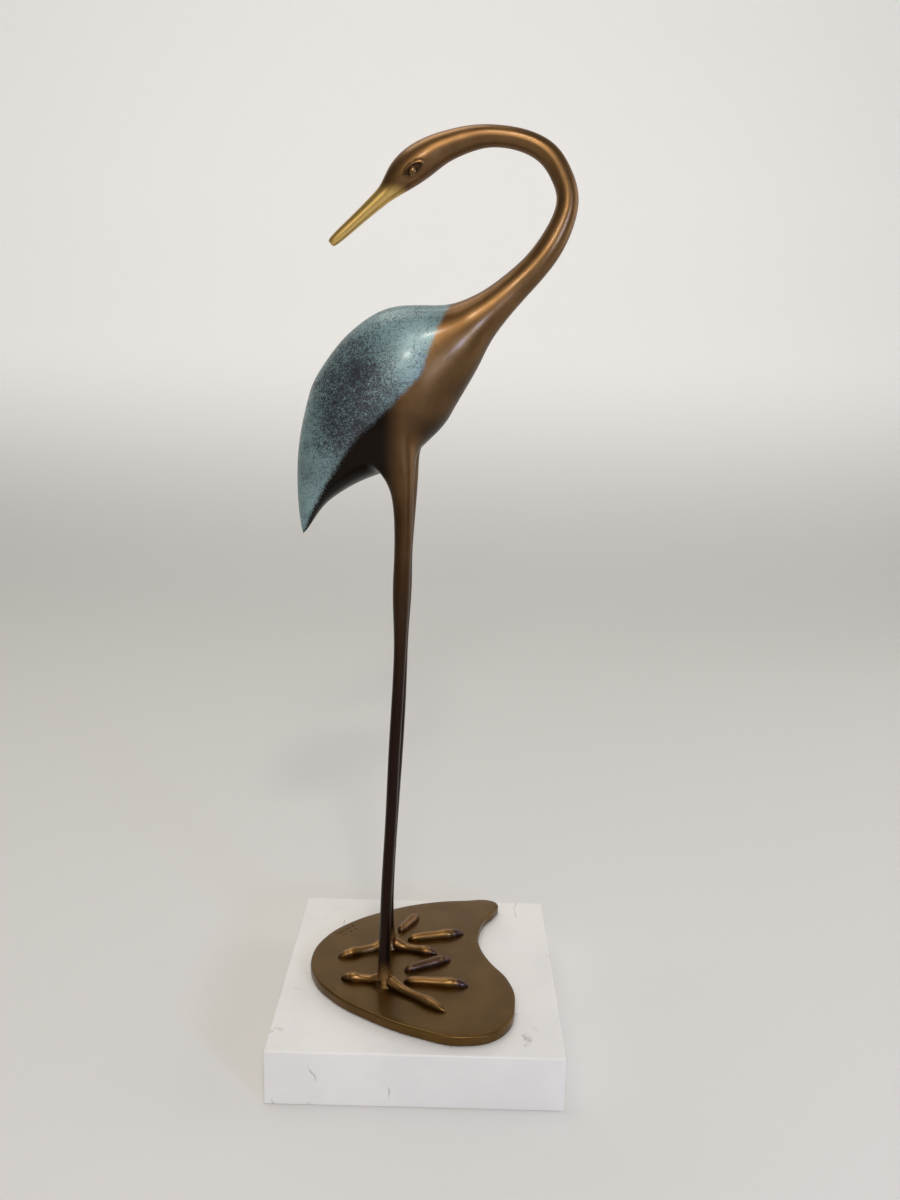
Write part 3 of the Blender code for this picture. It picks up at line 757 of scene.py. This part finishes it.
# The floor is a pale sweep that turns up into the wall behind, and isn't part of the object.
across = np.linspace(-6, 6, 3)
turn = np.linspace(0, math.pi / 2, 17)
profile = np.concatenate([[(-6, 0)], np.stack([1.2 + np.sin(turn), 1 - np.cos(turn)], axis=-1), [(2.2, 6)]])
sweep = np.dstack(np.broadcast_arrays(across[:, None], profile[:, 0], profile[:, 1]))
faces = grid_faces(*sweep.shape[:2], closed=False)[:, ::-1]
floor = mesh_object("floor", sweep.reshape(-1, 3), faces.tolist())
paper, tree, shader = new_material("glowing_pale_sweep")
shader.inputs["Base Color"].default_value = (0.72, 0.71, 0.69, 1)
shader.inputs["Roughness"].default_value = 0.8
# Painted light: the sweep glows, faintly on the floor and more up the wall.
shader.inputs["Emission Color"].default_value = (1.0, 0.98, 0.95, 1)
height = node(tree, "SeparateXYZ", {0: node(tree, "TexCoord").outputs["Object"]}).outputs["Z"]
tree.links.new(spread(tree, height, 0.0, 0.6, 0.03, 0.38), shader.inputs["Emission Strength"])
floor.data.materials.append(paper)

# Studio light: two small warm lamps in front with a broad one behind them, one overhead, a cool window
# at the front right, a soft one on the right, and a pale surround.
world = bpy.data.worlds.new("surround")
bpy.context.scene.world = world
world.use_nodes = True
world.node_tree.nodes["Background"].inputs["Color"].default_value = (0.86, 0.83, 0.79, 1)
world.node_tree.nodes["Background"].inputs["Strength"].default_value = 0.24
bpy.context.scene.view_settings.view_transform = "Standard"
for name, place, target, size, power, colour in (
    ("key", (0.22, -1.35, 1.62), (0, 0, 0.5), 0.16, 6, (1.0, 0.92, 0.80)),
    ("front", (-0.02, -1.75, 1.24), (0, 0, 0.5), 0.14, 5.5, (1.0, 0.94, 0.85)),
    ("softbox", (-0.15, -1.90, 1.15), (0, 0, 0.5), 1.5, 6, (1.0, 0.94, 0.86)),
    ("overhead", (-0.5, 0.3, 2.4), (0, 0.3, 0.2), 1.2, 13, (1.0, 0.96, 0.90)),
    ("window", (1.00, -1.35, 0.66), (0, 0, 0.5), 0.25, 7, (0.45, 0.58, 1.0)),
    ("side", (1.70, 0.30, 0.75), (0, 0, 0.2), 1.4, 7, (1.0, 0.97, 0.93)),
):
    light = bpy.data.lights.new(name, "AREA")
    light.size = size
    light.energy = power
    light.color = colour
    lamp = bpy.data.objects.new(name, light)
    away = np.array(place) - target
    away /= np.linalg.norm(away)
    side = np.cross((0, 0, 1), away)
    side /= np.linalg.norm(side)
    turned = np.eye(4)
    turned[:3, :3] = np.stack([side, np.cross(away, side), away], axis=-1)
    turned[:3, 3] = place
    lamp.matrix_world = Matrix(turned)
    bpy.context.scene.collection.objects.link(lamp)

# The camera stands where the photograph was taken from, and leans by about a degree.
VIEWPOINT = (0.017, -0.665, 0.468)
YAW, PITCH, ROLL = np.radians([0.1, 12.1, 1.4])
SENSOR_HEIGHT = 36
FOCAL_LENGTH, IMAGE_HEIGHT = 976, 1200  # both in pixels
looking = np.array([-math.sin(YAW) * math.cos(PITCH), math.cos(YAW) * math.cos(PITCH), -math.sin(PITCH)])
level = np.array([math.cos(YAW), math.sin(YAW), 0])
upright = np.cross(level, looking)
camera = bpy.data.objects.new("camera", bpy.data.cameras.new("camera"))
camera.data.sensor_fit = "VERTICAL"
camera.data.sensor_height = SENSOR_HEIGHT
camera.data.lens = SENSOR_HEIGHT * FOCAL_LENGTH / IMAGE_HEIGHT
turned = np.eye(4)
turned[:3, 0] = math.cos(ROLL) * level + math.sin(ROLL) * upright
turned[:3, 1] = math.cos(ROLL) * upright - math.sin(ROLL) * level
turned[:3, 2] = -looking
turned[:3, 3] = VIEWPOINT
camera.matrix_world = Matrix(turned)
bpy.context.scene.collection.objects.link(camera)
bpy.context.scene.camera = camera
